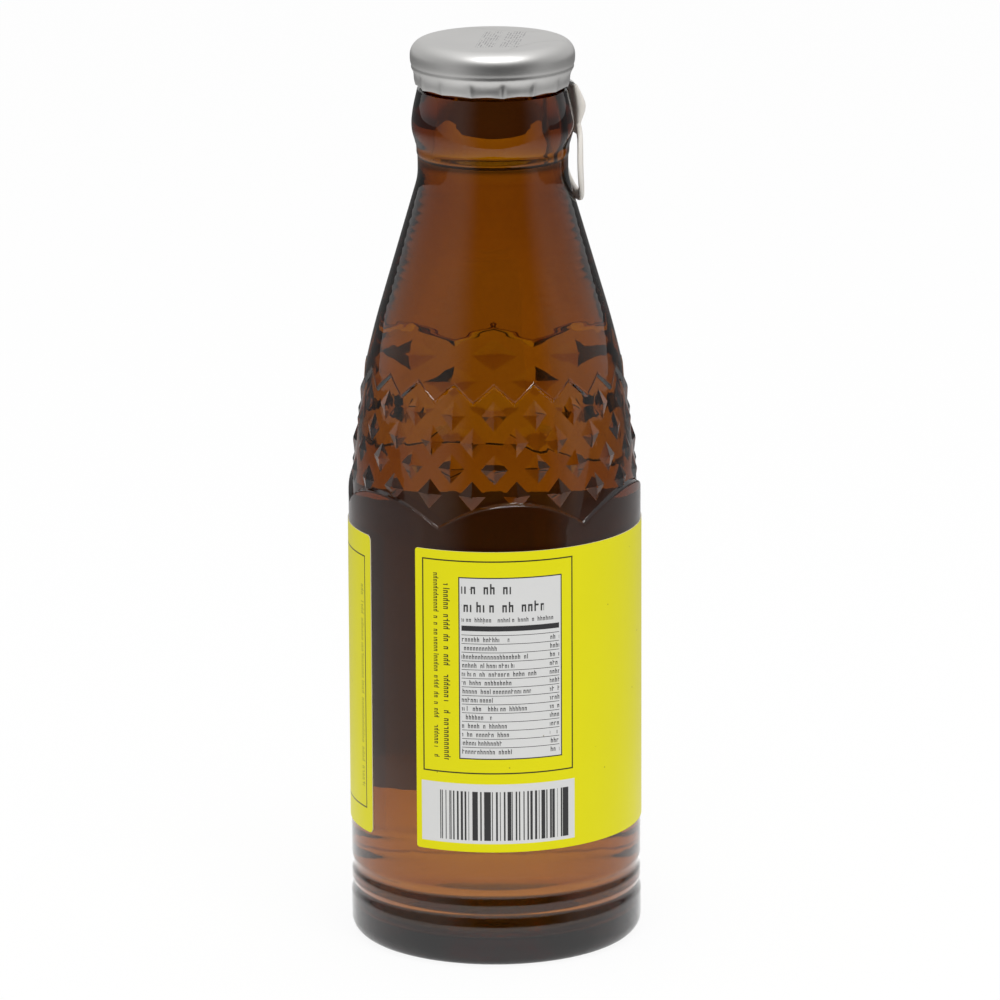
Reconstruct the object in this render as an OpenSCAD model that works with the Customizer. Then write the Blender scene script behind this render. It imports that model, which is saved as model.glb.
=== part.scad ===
// Small moulded-glass soda bottle with a ring-pull cap.
// The bottle stands on z = 0 with its axis on Z. Azimuths are degrees from the
// front (-Y) towards +X.

/* [Glass body] */
// Outer radius of the label panel
panel_r = 24.6; // [22:0.1:30]
// How far the heel band stands proud of the label panel
heel_proud = 0.1; // [0:0.05:0.4]
// Height of the heel band, up to the first groove
heel_band_h = 7.5; // [6:0.1:9]
// Radius of the rounded heel
heel_fillet = 2.8; // [1.5:0.1:4]
// Width of the flat ring that the bottle stands on
bearing_w = 2.4; // [1.2:0.1:4]
// Height of the push-up under the bottle
punt_h = 2.6; // [1:0.1:4]
// Glass thickness at the middle of the base
base_t = 4.6; // [3:0.1:8]
// Glass thickness of the side wall at the label panel
wall = 2.7; // [2:0.1:3]
// Inside radius where the floor meets the wall
inner_heel_r = 2.2; // [1.5:0.1:9]

/* [Base grooves] */
// Height of the lower groove
groove_low_z = 8.9; // [8.5:0.1:9.5]
// Spacing of the two grooves
groove_pitch = 3.5; // [3:0.1:5]
// Depth of a groove
groove_depth = 0.28; // [0.1:0.02:0.5]
// Width of a groove at the surface
groove_w = 2.4; // [1.5:0.1:2.8]

/* [Shoulder and neck] */
// Height where the long shoulder curve leaves the body
shoulder_z = 68.8; // [66:0.2:72]
// How far below the lip the cone reaches the neck
neck_drop = 22.4; // [21:0.1:25]
// Lean of the cone between the long shoulder curve and the neck, in degrees
cone_angle = 16.4; // [15.5:0.1:17.5]
// How far below the lip the cone inside the glass would meet the bore
bore_drop = 24.5; // [23:0.1:26]
// Outer radius of the neck below the collar
neck_r = 12.56; // [12:0.02:13]
// Radius of the curve from the cone into the neck
neck_fillet = 10; // [4:1:16]

/* [Diamond band] */
// Number of diamonds round one row
diamonds = 20; // [12:1:28]
// Number of rows of diamonds
diamond_rows = 4; // [2:1:4]
// Height of the top row's centres
diamond_top_z = 94.6; // [93:0.1:96]
// Spacing of the rows
diamond_pitch = 4.4; // [4.2:0.1:4.6]
// Width of one diamond
diamond_w = 4.5; // [3:0.1:5]
// Height of one diamond
diamond_h = 5; // [4:0.1:5.4]
// How far a diamond's point stands out of the band
diamond_relief = 0.55; // [0.3:0.05:0.9]
// Depth of the sunk band
band_depth = 0.45; // [0.2:0.05:0.8]
// Height of the zigzag edge's valleys
zigzag_z = 96.7; // [96:0.1:98]
// Height of the zigzag's peaks above its valleys
zigzag_h = 3; // [2:0.1:4]

/* [Arches] */
// Number of arches along the top of the label panel
arches = 6; // [4:1:10]
// Height of the points between two arches
arch_cusp_z = 75.5; // [74.5:0.1:77]
// Height of an arch above those points
arch_rise = 4.4; // [2:0.1:4.6]
// Azimuth of the first arch's middle
arch_azimuth = 7.3; // [-30:0.1:30]

/* [Collar and finish] */
// How far below the lip the low step round the neck starts
neck_step_drop = 17.9; // [17:0.1:19]
// How far below the lip the collar is widest
collar_drop = 13.5; // [12.8:0.1:14.5]
// How far the collar stands out past the neck
collar_out = 1; // [0.7:0.02:1.3]
// Radius of the collar's rounded lower edge
collar_round = 1.9; // [1:0.1:2.4]
// Height of the rim that the cap seals on
lip_z = 153.1; // [152:0.1:155]
// How far the bead that the cap grips stands out past the neck
bead_out = 0.64; // [0.4:0.02:0.9]
// Rounding of the rim's outer edge
lip_round = 2.1; // [1.5:0.1:2.4]
// Glass between the neck's outside and the bore at the mouth
mouth_wall = 3.06; // [2.5:0.02:4]

/* [Drink] */
// How far below the lip the drink's surface lies
headspace_h = 19.6; // [19:0.1:32]
// How far the surface climbs the glass
meniscus = 0.9; // [0.3:0.1:1.5]

/* [Label] */
// Height of the label's lower edge
label_z = 20.4; // [16:0.2:30]
// Height of the label
label_h = 51.8; // [30:0.2:52]
// Thickness of the label
label_t = 0.12; // [0.08:0.01:0.3]
// Thickness of the glue behind the label
glue_t = 0.03; // [0.02:0.01:0.1]
// Azimuth where the label starts
label_start = -32.3; // [-90:0.1:90]
// Angle left bare between the label's two ends
label_gap = 24.8; // [5:0.1:120]
// Radius of the label's corners
label_corner = 1; // [0.5:0.1:3]

/* [Cap] */
// Thickness of the aluminium
cap_t = 0.23; // [0.2:0.01:0.3]
// Clearance between the cap's side and the glass bead
cap_clearance = 0.31; // [0.2:0.01:0.5]
// Height of the cap, from its crimped edge to its top
cap_h = 7.8; // [7.4:0.1:8]
// Rounding of the cap's upper edge
cap_round = 2.5; // [1.5:0.1:3]
// Thickness of the sealing liner on the rim
liner_t = 0.37; // [0.3:0.01:0.6]
// Number of crimping pads round the skirt
crimps = 15; // [9:1:24]
// Azimuth of the first pleat, between two pads
pleat_azimuth = 7.5; // [0:0.5:24]
// Radius of a pleat's ridge
pleat_r = 0.9; // [0.6:0.05:1.1]
// How far the pleats stand out between the pads
pleat_out = 0.25; // [0.1:0.05:0.4]

/* [Tear strip and ring] */
// Azimuth of the ring
ring_azimuth = 105; // [0:1:180]
// Half width of the tear strip at the ring
strip_half_w = 4.4; // [3.6:0.1:6]
// Half width of the tear strip at its root
strip_root_w = 10.4; // [7:0.1:10.6]
// How far the root lies from the middle of the cap
strip_root_y = 0; // [-1:0.1:4]
// How far from the middle of the cap the strip starts to widen
strip_flare_y = 9.5; // [7:0.1:12]
// Width of the score line
score_w = 0.12; // [0.08:0.01:0.2]
// Depth of the score where the strip doesn't part from the cap
score_depth = 0.1; // [0.05:0.01:0.14]
// Turn of the score's last stretch, out over the cap's edge
score_turn = 14; // [0:1:30]
// Outer width of the pull ring
ring_w = 13.8; // [12:0.1:15]
// Width of the ring's band
ring_band = 2; // [1.6:0.1:2.6]
// Thickness of the ring
ring_t = 1; // [0.8:0.1:1.6]
// Radius that the ring is bowed to, round the neck
ring_bow = 17; // [15:0.5:24]
// How far the ring leans out at its foot, in degrees
ring_lean = 1.5; // [1.2:0.1:4]
// How far below the collar the ring's middle hangs
ring_drop = 7; // [6:0.1:8]
// Gap between the ring and the collar that it hangs over
ring_gap = 0.3; // [0.2:0.05:0.6]
// Width of the ring's grip
grip_w = 5; // [4:0.1:6]
// Thickness of the grip at its bulge
grip_bulge = 1.8; // [1:0.1:2.2]
// Thickness of the thin web between the grip and the loop
grip_web = 0.7; // [0.5:0.05:1]

/* [Hidden] */

$fn = 96;
far = 60;          // longer than any radius in the model
film = 0.05;       // gap between pieces that touch but move apart

glass_amber = [0.45, 0.20, 0.03, 0.75];
drink_orange = [0.80, 0.45, 0.10, 0.8];
label_yellow = [0.85, 0.82, 0.05];
cap_silver = [0.76, 0.76, 0.75];
ring_white = [0.92, 0.91, 0.88];
liner_white = [0.9, 0.9, 0.9];

// Points along an arc in the (radius, height) plane
function arc(centre, r, a0, a1, n) =
    [for (i = [0 : n]) let (a = a0 + (a1 - a0) * i / n) centre + r * [cos(a), sin(a)]];
function reversed(list) = [for (i = [len(list) - 1 : -1 : 0]) list[i]];

// --- Sizes of the glass worked out from the values above ---
heel_r = panel_r + heel_proud;
shoulder_top_r = panel_r + 0.1;                                // where the long curve would start
neck_z = lip_z - neck_drop;
collar_r = neck_r + collar_out;
bead_r = neck_r + bead_out;
bore_r = neck_r - mouth_wall;
neck_step_z = lip_z - neck_step_drop;
collar_z = lip_z - collar_drop;
bore_z = lip_z - bore_drop;
fill_z = lip_z - headspace_h;
// The long curve has the radius that lets the cone run on from it and reach the neck
shoulder_r = ((neck_z - shoulder_z) * tan(cone_angle) - shoulder_top_r + neck_r)
    * cos(cone_angle) / (1 - cos(cone_angle));
cone_z = shoulder_z + shoulder_r * sin(cone_angle);
cone_r = shoulder_top_r - shoulder_r * (1 - cos(cone_angle));

// Lean and outer radius of the shoulder at a height: the curve, then the cone
function shoulder_lean(z) = z < cone_z ? asin((z - shoulder_z) / shoulder_r) : cone_angle;
function shoulder_at(z) = z < cone_z ? shoulder_top_r - shoulder_r * (1 - cos(shoulder_lean(z)))
    : cone_r - (z - cone_z) * tan(cone_angle);
function field_at(z) = shoulder_at(z) - band_depth;
// Points on the shoulder curve between two heights, sunk by depth, one every 3 mm or so
function curve_line(z0, z1, depth) =
    let (n = ceil((z1 - z0) / 3))
    [for (i = [0 : n]) let (z = z0 + (z1 - z0) * i / n) [shoulder_at(z) - depth, z]];

zigzag_top = zigzag_z + zigzag_h;
panel_top = arch_cusp_z - 0.3;                                 // the arches stand on this level

// --- Sizes of the cap ---
cap_top = lip_z + liner_t + 2 * film + cap_t;
cap_bottom = cap_top - cap_h;
cap_r = bead_r + cap_clearance + cap_t;
skirt_r = neck_r - 0.01;                                       // outer radius of the crimped edge
seat_r = skirt_r - cap_t - cap_clearance;                      // the glass that it is crimped round

// Steps of the skirt above the crimped edge: (out from the edge, up)
skirt_steps = [[0, 0], [0.22, 1.1], [0.5, 2.2]];
// Steps of the side above them: (in from the cap's full radius, up from the edge)
side_steps = [[0.34, 3], [0.08, 3.8], [0, 4.6]];

// Outline of the cap's outside from the crimped edge to the middle of the top,
// moved inwards by t
function cap_line(t) = concat(
    [for (s = skirt_steps) [skirt_r + s.x - t, cap_bottom + s.y]],
    [for (s = side_steps) [cap_r - s.x - t, cap_bottom + s.y]],
    arc([cap_r - cap_round, cap_top - cap_round], cap_round - t, 0, 90, 8));

// --- Glass outlines ---
neck_step = 0.16;                                              // low step round the neck
bead_slope = 0.45;                                             // how far the bead slopes out
mouth_round = 0.9;
floor_fall = 0.9;                                              // the floor is lower at its edge
rest_in = heel_r - heel_fillet - bearing_w;
punt_curve = (rest_in * rest_in + punt_h * punt_h) / (2 * punt_h);
punt_sweep = asin(rest_in / punt_curve);

function outer_line() = concat(
    arc([0, punt_h - punt_curve], punt_curve, 90, 90 - punt_sweep, 5),
    arc([heel_r - heel_fillet, heel_fillet], heel_fillet, -90, 0, 6),
    [[heel_r, heel_band_h], [panel_r, groove_low_z], [panel_r, panel_top]],
    curve_line(panel_top, zigzag_top, band_depth),
    curve_line(zigzag_top, max(cone_z, zigzag_top + 3), 0),
    neck_line());

// The curve that leads from a cone into a straight neck
function neck_curve(r, z, angle) =
    arc([r + neck_fillet, z + neck_fillet * tan(angle / 2)], neck_fillet, 180 + angle, 180, 5);

// Outside of the neck, collar and finish
function neck_line() = concat(
    neck_curve(neck_r, neck_z, cone_angle),
    [[neck_r, neck_step_z - 0.3], [neck_r + neck_step, neck_step_z],
     [neck_r + neck_step, collar_z - collar_round - 1.5]],
    arc([collar_r - collar_round, collar_z], collar_round, -60, 0, 5),
    [[collar_r - 0.05, collar_z + 1.2], [neck_r, cap_bottom - 0.4],
     [seat_r, cap_bottom - film], [seat_r, cap_bottom + 0.7],
     [bead_r - bead_slope, cap_bottom + 2.6], [bead_r, cap_bottom + 3.9]],
    arc([bead_r - lip_round, lip_z - lip_round], lip_round, 0, 90, 6),
    arc([bore_r + mouth_round, lip_z - mouth_round], mouth_round, 90, 180, 4));

// The cavity, from the middle of the floor up to the mouth
floor_z = punt_h + base_t;
inner_r = panel_r - wall;
neck_inner_r = bore_r + 0.5;
inner_angle = atan((cone_r - wall - neck_inner_r) / (bore_z - cone_z));

function cavity_line() = concat(
    [[0, floor_z]],
    arc([inner_r - inner_heel_r, floor_z - floor_fall + inner_heel_r], inner_heel_r, -90, 0, 8),
    [for (i = [0 : 9]) let (z = shoulder_z + (cone_z - shoulder_z) * i / 9)
        [shoulder_at(z) - (shoulder_top_r - inner_r), z]],
    neck_curve(neck_inner_r, bore_z, inner_angle),
    [[neck_inner_r, neck_step_z], [bore_r, collar_z]]);

module turned(points) rotate_extrude() polygon(points);

// Places children on the side of the bottle: their +Z points out, +Y up
module on_side(azimuth, z, r, lean = 0)
    rotate([0, 0, azimuth]) translate([0, -r, z]) rotate([90 - lean, 0, 0]) children();

// A diamond that narrows to scale s over its height
module rhombus(w, h, height, s)
    linear_extrude(height = height, scale = s)
        polygon([[-w / 2, 0], [0, -h / 2], [w / 2, 0], [0, h / 2]]);

// One raised four-sided point of the diamond band, rooted in the glass
module diamond(azimuth, z) {
    root = 0.35;
    spread = (diamond_relief + root) / diamond_relief;
    on_side(azimuth, z, field_at(z), shoulder_lean(z))
        translate([0, 0, -root])
            rhombus(diamond_w * spread, diamond_h * spread, diamond_relief + root, 0);
}

module diamonds_all()
    for (row = [0 : diamond_rows - 1], i = [0 : diamonds - 1])
        diamond((i + (row % 2) / 2) * 360 / diamonds, diamond_top_z - row * diamond_pitch);

// The full-size skin over the top of the band, cut by the upward points of the zigzag
module zigzag_skin() {
    root = 0.5;                                    // how far the skin runs into the glass
    sink = root + 0.3;                             // where a notch starts, below the band
    rise = sink + band_depth + 0.5;                // height of one notch
    flare = 2;                                     // growth over that height bevels the edge
    at_skin = 1 + (flare - 1) * (sink + band_depth) / rise;
    low_z = zigzag_z - band_depth;
    pitch = 2 * PI * shoulder_at(zigzag_z) / diamonds;
    difference() {
        turned(concat(
            [[field_at(low_z) - root, low_z], [field_at(low_z), low_z]],
            curve_line(zigzag_z, zigzag_top, 0),
            [[field_at(zigzag_top), zigzag_top + band_depth],
             [field_at(zigzag_top) - root, zigzag_top + band_depth]]));
        for (i = [0 : diamonds - 1])
            on_side(i * 360 / diamonds, zigzag_z, field_at(zigzag_z) - sink, shoulder_lean(zigzag_z))
                rhombus(1.12 * pitch / at_skin, 2 * zigzag_h / at_skin, rise, flare);
    }
}

// The label panel's scalloped top: one cone for each arch, which slopes its edge
module arch_skin() {
    half = 180 / arches;
    slope = 0.3;
    reach = 5;
    across = panel_r * sin(half);
    lean_in = slope * panel_r * (1 - cos(half));
    arch_r = (across * across + arch_rise * arch_rise - lean_in * lean_in)
        / (2 * (arch_rise + lean_in));
    z_top = arch_cusp_z + arch_rise;
    intersection() {
        turned([[panel_r - 2, panel_top - 0.5], [panel_r - 0.5, panel_top - 0.5],
                [panel_r, panel_top], [panel_r, z_top + 0.3], [panel_r - 2, z_top + 1.6]]);
        union() for (i = [0 : arches - 1])
            on_side(arch_azimuth + i * 360 / arches, z_top - arch_r, panel_r - reach)
                cylinder(h = reach + 1, r1 = arch_r + slope * reach, r2 = arch_r - slope);
    }
}

module base_grooves()
    for (i = [0 : 1])
        let (round_r = (pow(groove_w / 2, 2) + pow(groove_depth, 2)) / (2 * groove_depth))
        rotate_extrude()
            translate([panel_r - groove_depth + round_r, groove_low_z + i * groove_pitch])
                circle(r = round_r);

module cavity() turned(concat(cavity_line(), [[bore_r, lip_z + 1], [0, lip_z + 1]]));

module glass_bottle()
    color(glass_amber)
    difference() {
        union() {
            turned(concat(outer_line(), [[0, lip_z]]));
            zigzag_skin();
            arch_skin();
            diamonds_all();
        }
        base_grooves();
        cavity();
    }

// The drink fills the cavity up to a surface that climbs the wall in a short curve
module drink() {
    wall_r = neck_inner_r + max(0, bore_z - fill_z) * tan(inner_angle);
    color(drink_orange)
    intersection() {
        cavity();
        turned(concat(
            [[0, 0], [far, 0], [far, fill_z + meniscus]],
            [for (i = [0 : 5]) let (s = i / 5)
                [wall_r - 2 * meniscus * s, fill_z + meniscus * (1 - s) * (1 - s)]],
            [[0, fill_z]]));
    }
}

// What is cut away to round one corner of the label
module label_corner_cut(azimuth, z, side, up) {
    over = label_corner * 0.1;                     // how far the cut reaches past the edges
    on_side(azimuth, z, panel_r - over)
        mirror([side, 0, 0]) mirror([0, up, 0])
            linear_extrude(height = label_corner)
                polygon(concat([[-over, -over], [label_corner, -over]],
                               arc([label_corner, label_corner], label_corner, 255, 195, 4),
                               [[-over, label_corner]]));
}

module wrap_label() {
    sweep = 360 - label_gap;
    color(label_yellow)
    difference() {
        rotate([0, 0, label_start - 90])
            rotate_extrude(angle = sweep)
                translate([panel_r + glue_t, label_z]) square([label_t, label_h]);
        for (up = [0, 1]) {
            label_corner_cut(label_start, label_z + up * label_h, 0, up);
            label_corner_cut(label_start + sweep, label_z + up * label_h, 1, up);
        }
    }
}

// --- Cap ---
// Plan of the tear strip with the ring towards -Y, moved out by g all round: two straight
// sides that flare to the root, where the score turns back sharply
function strip_side(g) =
    let (flare = [strip_root_w - strip_half_w, strip_flare_y - strip_root_y],
         out = [flare.y, -2 * flare.x] / norm([flare.y, 2 * flare.x]))
    concat([[strip_half_w + g, -far]],
           [for (i = [0 : 5]) let (t = i / 6, n = [flare.y, -2 * flare.x * t])
               [strip_half_w + flare.x * t * t, flare.y * t - strip_flare_y] + g * n / norm(n)],
           [[strip_root_w + g * (1 - out.y) / out.x, g - strip_root_y]]);
function mirrored(points) = reversed([for (p = points) [-p[0], p[1]]]);

module strip_prism(g)
    rotate([0, 0, ring_azimuth]) translate([0, 0, cap_bottom - 1])
        linear_extrude(height = cap_h + 2)
            polygon(concat(strip_side(g), mirrored(strip_side(g))));

module cap_inside()
    turned(concat([[0, cap_bottom - 1], [skirt_r - cap_t, cap_bottom - 1]],
                  cap_line(cap_t), [[0, cap_top - cap_t]]));

// One pleat left standing between two crimping pads: a round ridge up the skirt
module pleat(azimuth) {
    pleat_h = 1.6;
    lean = 12;                                     // follows the skirt's slope
    skirt_out = 0.2;                               // the skirt's radius here, past its edge
    rotate([0, 0, azimuth])
        translate([0, pleat_r - skirt_r - skirt_out - pleat_out, cap_bottom + 1.3])
            rotate([-lean, 0, 0]) {
                cylinder(h = pleat_h, r = pleat_r, center = true, $fn = 32);
                translate([0, 0, pleat_h / 2]) sphere(r = pleat_r, $fn = 32);
            }
}

// The whole drawn cap, before the strip is scored out of it
module cap_body()
    difference() {
        union() {
            turned(concat([[0, cap_bottom]], cap_line(0), [[0, cap_top]]));
            for (i = [0 : crimps - 1]) pleat(pleat_azimuth + i * 360 / crimps);
        }
        cap_inside();
    }

// The score runs on from a corner of the strip's root, out over the cap's edge
module score_end(side)
    difference() {
        rotate([0, 0, ring_azimuth]) mirror([side, 0, 0])
            translate([strip_root_w, -strip_root_y, cap_bottom - 1]) rotate([0, 0, score_turn])
                translate([0, -score_w / 2, 0]) cube([far, score_w, cap_h + 2]);
        turned(concat([[0, cap_bottom - 2], [skirt_r - score_depth, cap_bottom - 2]],
                      cap_line(score_depth), [[0, cap_top - score_depth]]));
    }

module cap_shell()
    color(cap_silver)
    difference() {
        cap_body();
        strip_prism(score_w / 2);
        for (side = [0, 1]) score_end(side);
    }

module tear_strip()
    color(cap_silver)
    union() {
        intersection() {
            cap_body();
            strip_prism(-score_w / 2);
        }
        tab_lip();
    }

liner_r = bore_r + 0.4;                                        // the liner's open middle

module cap_liner()
    color(liner_white)
    turned(concat(
        [[liner_r, cap_top - cap_t - film], [liner_r, lip_z + film]],
        arc([bead_r - lip_round, lip_z - lip_round], lip_round + film, 90, 20, 6),
        arc([cap_r - cap_round, cap_top - cap_round], cap_round - cap_t - film, 20, 90, 6)));

// --- Ring, modelled towards -Y and then turned to its azimuth ---
barrel_r = 0.5;
ring_z = collar_z - ring_drop;
hinge_gap = 0.3;
hinge_r = bead_r + barrel_r + 2 * film;                        // so that the cap lifts off with its ring
hinge_z = cap_bottom - barrel_r - hinge_gap;
ring_hole_w = ring_w - 2 * ring_band;
ring_back_r = collar_r + ring_gap;
// Middle of the bowed plate at the ring's own height
ring_plate_r = ring_back_r + ring_t / 2 + (collar_z - ring_z) * tan(ring_lean);

// Extrudes an outline in the (radius, height) plane across the ring's width
module across_ring(w)
    rotate([0, 0, ring_azimuth]) rotate([90, 0, -90]) linear_extrude(height = w, center = true)
        children();

// Short lip of the strip, bent out over the ring's barrel
module tab_lip() {
    lip_in = skirt_r - cap_t / 2;
    lip_out = hinge_r - 0.1;
    intersection() {
        turned([[lip_in, cap_bottom + 2 * cap_t], [skirt_r + cap_t / 4, cap_bottom + 2 * cap_t],
                [lip_out, cap_bottom + cap_t], [lip_out, cap_bottom], [lip_in, cap_bottom]]);
        rotate([0, 0, ring_azimuth]) translate([-grip_w / 2, -far, 0]) cube([grip_w, far, cap_top]);
    }
}

// Bowed flat ring: a slice of tube, cut to a round outline with a round hole
module ring_loop()
    rotate([0, 0, ring_azimuth])
        translate([0, -ring_plate_r, ring_z]) rotate([-ring_lean, 0, 0])
            intersection() {
                translate([0, ring_bow, 0])
                    difference() {
                        cylinder(h = ring_w, r = ring_bow + ring_t / 2, center = true);
                        cylinder(h = ring_w + 2, r = ring_bow - ring_t / 2, center = true);
                    }
                rotate([90, 0, 0])
                    difference() {
                        cylinder(h = ring_w, d = ring_w, center = true);
                        cylinder(h = ring_w + 2, d = ring_hole_w, center = true);
                    }
            }

// Grip between the hinge and the loop: it bulges for the fingertip above the collar and
// is thin where it meets the loop
module ring_grip() {
    foot_z = ring_z + ring_w / 2 - ring_band / 2;
    web_r = ring_back_r + grip_web;
    bulge_r = ring_back_r + grip_bulge;
    bulge_z = (hinge_z + collar_z) / 2 - 0.5;
    fall = 0.45;                                   // how far the bulge falls back above and below
    across_ring(grip_w) {
        translate([hinge_r, hinge_z]) circle(r = barrel_r);
        polygon([[hinge_r - barrel_r, hinge_z], [hinge_r, hinge_z + barrel_r],
                 [bulge_r - fall, bulge_z + 1.4], [bulge_r, bulge_z],
                 [bulge_r - fall, bulge_z - 1.6], [web_r, collar_z - 1], [web_r, foot_z],
                 [ring_back_r, foot_z], [ring_back_r, bulge_z - 1]]);
    }
}

module pull_ring()
    color(ring_white)
    union() {
        ring_loop();
        ring_grip();
    }

glass_bottle();
drink();
wrap_label();
cap_shell();
cap_liner();
tear_strip();
pull_ring();
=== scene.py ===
# %% [markdown]
# # A small amber glass soda bottle with a ring-pull cap
#
# The bottle's solids were worked out in CAD, and every moving part of it rides on a named body.
# This lesson gives those solids their looks: clear amber glass with a moulded diamond band, the
# drink inside it, a printed wrap-around label, a crimped aluminium cap whose strip tears off, and
# the white ring that pulls it. Each step says what the thing is before it is made.

# %% Load the frame
import math

import bpy
import numpy as np
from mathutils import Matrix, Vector
from mathutils.geometry import delaunay_2d_cdt


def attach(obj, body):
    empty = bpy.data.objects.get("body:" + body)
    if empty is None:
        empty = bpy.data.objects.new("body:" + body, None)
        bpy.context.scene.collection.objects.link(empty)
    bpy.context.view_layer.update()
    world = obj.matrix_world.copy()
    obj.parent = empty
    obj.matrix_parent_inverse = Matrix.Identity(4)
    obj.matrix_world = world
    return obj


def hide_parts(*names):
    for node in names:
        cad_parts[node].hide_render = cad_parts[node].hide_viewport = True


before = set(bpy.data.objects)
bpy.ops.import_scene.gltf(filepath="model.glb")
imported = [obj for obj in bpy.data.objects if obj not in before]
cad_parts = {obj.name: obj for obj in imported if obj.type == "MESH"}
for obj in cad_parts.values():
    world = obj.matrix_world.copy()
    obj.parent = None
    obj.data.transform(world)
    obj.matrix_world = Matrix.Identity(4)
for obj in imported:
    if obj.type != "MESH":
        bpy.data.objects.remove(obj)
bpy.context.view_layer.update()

# %% [markdown]
# ## Units and directions
#
# A bottle is turned glass, so almost every point on it is easiest to give as an azimuth, a radius
# and a height. Azimuth 0 is the front, and it grows towards the right. Sizes are in millimetres,
# as in the CAD, and become metres only when a mesh is made.

# %% Points round the axis
MM = 0.001


def around(azimuth, radius, height):
    """Points in mm from azimuths in degrees, radii and heights."""
    a = np.radians(azimuth)
    return np.stack(np.broadcast_arrays(radius * np.sin(a), -radius * np.cos(a), height), -1)


def arc(centre, radius, start, end, steps):
    """Points along an arc in the plane of radius and height."""
    a = np.radians(np.linspace(start, end, steps + 1))
    return np.stack([centre[0] + radius * np.cos(a), centre[1] + radius * np.sin(a)], 1)


print("A point at the right side:", around(90, 24.6, 10))


# %% [markdown]
# ## The camera
#
# The camera stands about 1.3 m away and looks down on the bottle by 14 degrees through a long
# lens, so the cap's top shows as a flat ellipse and the sides stay almost parallel.

# %% Camera
camera_data = bpy.data.cameras.new("view_camera")
camera = bpy.data.objects.new("view_camera", camera_data)
bpy.context.scene.collection.objects.link(camera)
SENSOR_MM, FOCAL_PIXELS, PICTURE_PIXELS = 36, 7460.64, 1000
camera_data.sensor_width = SENSOR_MM
camera_data.lens = SENSOR_MM * FOCAL_PIXELS / PICTURE_PIXELS
camera_data.clip_end = 50
camera.location = Vector((0.914, -1218.55, 383.66)) * MM
camera.rotation_mode = "XYZ"
camera.rotation_euler = (math.pi / 2 - 0.248177, 0, 0)
camera.rotation_euler.rotate_axis("Z", -0.00464)
bpy.context.scene.camera = camera
print("Lens:", round(camera_data.lens, 1), "mm")

# %% [markdown]
# ## A way to write finishes
#
# A finish is a small network of shader nodes. Writing it as arithmetic keeps it readable, so one
# class wraps a socket and turns `a * 2 + b` into Math nodes. A second class holds the tree and
# adds every other kind of node through one method.

# %% Sockets as numbers


class Value:
    """A node's output that can be used in Python arithmetic."""

    def __init__(self, recipe, socket):
        self.recipe, self.socket = recipe, socket

    def maths(self, operation, *others):
        values = {i: v for i, v in enumerate((self, *others))}
        return self.recipe.node("ShaderNodeMath", {"operation": operation}, values)

    def __add__(self, other):
        return self.maths("ADD", other)

    def __sub__(self, other):
        return self.maths("SUBTRACT", other)

    def __mul__(self, other):
        return self.maths("MULTIPLY", other)

    def __truediv__(self, other):
        return self.maths("DIVIDE", other)

    def __gt__(self, other):
        return self.maths("GREATER_THAN", other)

    def __lt__(self, other):
        return self.maths("LESS_THAN", other)

    def __rsub__(self, other):
        return self.maths("MULTIPLY_ADD", -1, other)

    def __neg__(self):
        return self * -1

    __radd__, __rmul__ = __add__, __mul__


class Recipe:
    """The node tree of one finish."""

    def __init__(self, owner):
        owner.use_nodes = True
        self.tree = owner.node_tree
        self.tree.nodes.clear()

    def node(self, kind, settings=None, inputs=None, output=0):
        """Adds one node: its settings first, then the values or links of its sockets."""
        made = self.tree.nodes.new(kind)
        for key, value in (settings or {}).items():
            if key == "stops":
                ramp = made.color_ramp
                while len(ramp.elements) < len(value):
                    ramp.elements.new(0.5)
                for element, (place, colour) in zip(ramp.elements, value):
                    element.position, element.color = place, (*colour, 1)
            else:
                setattr(made, key, value)
        for key, value in (inputs or {}).items():
            if isinstance(value, Value):
                self.tree.links.new(value.socket, made.inputs[key])
            else:
                made.inputs[key].default_value = value
        return Value(self, made.outputs[output])


print("Sockets can be added, multiplied and compared.")


# %% [markdown]
# ## Helpers that finishes share
#
# Grain, print and wear all need the same few things: where a point is in millimetres, a soft
# step, a noise, and a plain surface shader to put them on.

# %% Shared finish helpers
def place(recipe):
    """x, y and z of the shaded point in mm, which stay put when the piece moves."""
    spot = recipe.node("ShaderNodeTexCoord", output="Object")
    return [recipe.node("ShaderNodeSeparateXYZ", {}, {0: spot}, axis) * 1000 for axis in "XYZ"]


def azimuth_of(x, y):
    """Azimuth in degrees from the front."""
    return x.maths("ARCTAN2", -y) * (180 / math.pi)


def soft_step(value, low, high):
    """0 below low, 1 above high, and smooth between."""
    settings = {"interpolation_type": "SMOOTHSTEP"}
    return value.recipe.node("ShaderNodeMapRange", settings, {0: value, 1: low, 2: high, 3: 0, 4: 1})


def noise(recipe, size, detail=2.0, along=(1, 1, 1), shift=0.0):
    """Noise from 0 to 1 whose lumps are about size mm across, stretched where along is small."""
    spot = recipe.node("ShaderNodeTexCoord", output="Object")
    scaled = recipe.node("ShaderNodeVectorMath", {"operation": "MULTIPLY_ADD"},
                         {0: spot, 1: [1000 * a / size for a in along], 2: (shift,) * 3})
    return recipe.node("ShaderNodeTexNoise", {}, {"Vector": scaled, "Scale": 1, "Detail": detail})


def blend(recipe, amount, first, second):
    """A colour between two colours."""
    inputs = {0: amount, 6: first, 7: second}
    return recipe.node("ShaderNodeMix", {"data_type": "RGBA"}, inputs, 2)


def bump(height, depth_mm):
    """A normal from a height that runs from 0 to 1."""
    inputs = {"Height": height, "Distance": depth_mm * MM, "Strength": 1}
    return height.recipe.node("ShaderNodeBump", {}, inputs)


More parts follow.
